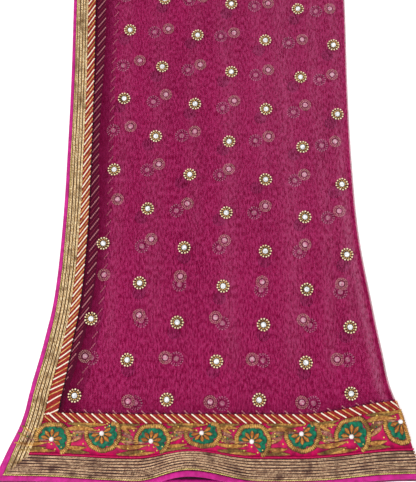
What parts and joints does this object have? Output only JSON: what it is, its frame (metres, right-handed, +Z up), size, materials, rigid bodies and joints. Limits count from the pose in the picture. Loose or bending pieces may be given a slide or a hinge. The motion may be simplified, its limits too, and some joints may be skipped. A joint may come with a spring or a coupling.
{
  "type": "folded net veil",
  "caption": "Sheer embroidered net veil with gold and striped borders, folded in four layers and laid flat with its hem slightly arched.",
  "frame": {"origin": "on the surface the veil lies on, under the middle of its outline", "axes": "+Y runs along the cloth from the hem in front to the crosswise fold, +X to the lengthwise fold on the right, +Z up"},
  "size_m": [0.485, 1.1056, 0.0391],
  "materials": {
    "net": "sheer nylon net, magenta maroon",
    "net_layers": "stacked layers of the same net",
    "silk_piping": "rolled silk piping, bright magenta",
    "gold_zari": "ribbed gold thread band",
    "antique_zari": "ribbed gold and dark thread band",
    "pink_cord": "thin twisted cord",
    "embroidery": "pink silk with satin stitch, metal coil and pearls",
    "striped_ribbon": "red ribbon with slanted cream and gold cords"
  },
  "bodies": {
    "root": {"net_top": "net", "net_under": "net_layers", "piping": "silk_piping", "under_piping": "silk_piping", "side_zari": "gold_zari", "end_zari": "antique_zari", "end_cord": "pink_cord", "end_embroidery": "embroidery", "side_ribbon": "striped_ribbon", "end_ribbon": "striped_ribbon"}
  },
  "joints": []
}
